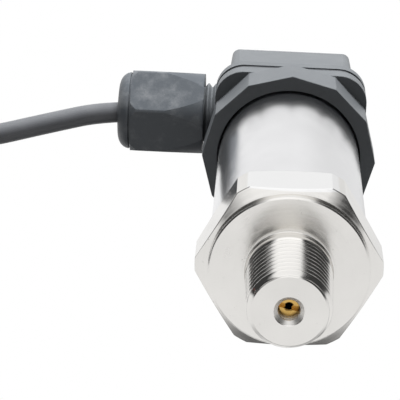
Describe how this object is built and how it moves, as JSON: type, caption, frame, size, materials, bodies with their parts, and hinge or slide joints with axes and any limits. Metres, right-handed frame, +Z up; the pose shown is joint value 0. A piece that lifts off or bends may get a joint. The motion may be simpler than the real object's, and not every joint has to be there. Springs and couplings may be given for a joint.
{
  "type": "pressure transmitter",
  "caption": "Tubular steel pressure transmitter with a tapered pipe-thread port on a hexagon, a square side-entry plug connector with a cable gland, and a coiled lead.",
  "frame": {"origin": "centre of the port's end face, on the axis of the tapered process thread", "axes": "+Z up the transmitter's axis from the port to the plug; the cable gland points along -X; the picture's upper side is -Y"},
  "size_m": [0.107, 0.0568, 0.1361],
  "materials": {
    "stainless_steel": "fine-turned stainless steel, satin",
    "case_steel": "drawn stainless tube, satin ground",
    "black_plastic": "glass-filled nylon, fine satin grain",
    "grey_plastic": "moulded insulating plastic, matt",
    "gland_plastic": "moulded nylon, satin",
    "brass": "turned brass, bright",
    "tinned_metal": "tinned contact metal, satin",
    "zinc_steel": "zinc-plated steel screw",
    "seal_rubber": "black nitrile rubber",
    "ceramic": "alumina ceramic, matt",
    "board_laminate": "green glass-fibre laminate",
    "component_black": "moulded component case",
    "cable_sheath": "dark grey cable sheath, satin",
    "core_insulation": "coloured core insulation",
    "tie_strap": "woven hook-and-loop strap",
    "ferrule_metal": "tinned copper ferrule"
  },
  "bodies": {
    "root": {"process_fitting": "stainless_steel", "restrictor_screw": "brass", "sensor_seal": "seal_rubber", "sensor_cell": "ceramic", "retaining_ring": "stainless_steel", "sensor_pins": "tinned_metal", "board_posts": "brass", "circuit_board": "board_laminate", "board_chip": "component_black", "board_capacitors": "component_black", "lead_wires": "tinned_metal", "case_tube": "case_steel", "terminal_base": "black_plastic", "base_seal": "seal_rubber", "screw_insert": "brass", "contact_blades": "tinned_metal", "earth_blade": "tinned_metal", "flat_gasket": "seal_rubber", "plug_housing": "black_plastic", "contact_carrier": "grey_plastic", "clamp_contacts": "brass", "clamp_screws": "zinc_steel", "fixing_screw": "zinc_steel", "screw_seal": "seal_rubber", "gland_seal": "seal_rubber", "clamp_washer": "zinc_steel", "gland_nut": "gland_plastic", "inner_cores": "core_insulation", "cable": "cable_sheath", "cable_coil": "cable_sheath", "coil_tie": "tie_strap", "cable_tail": "cable_sheath", "tail_cores": "core_insulation", "ferrules": "ferrule_metal"}
  },
  "joints": []
}
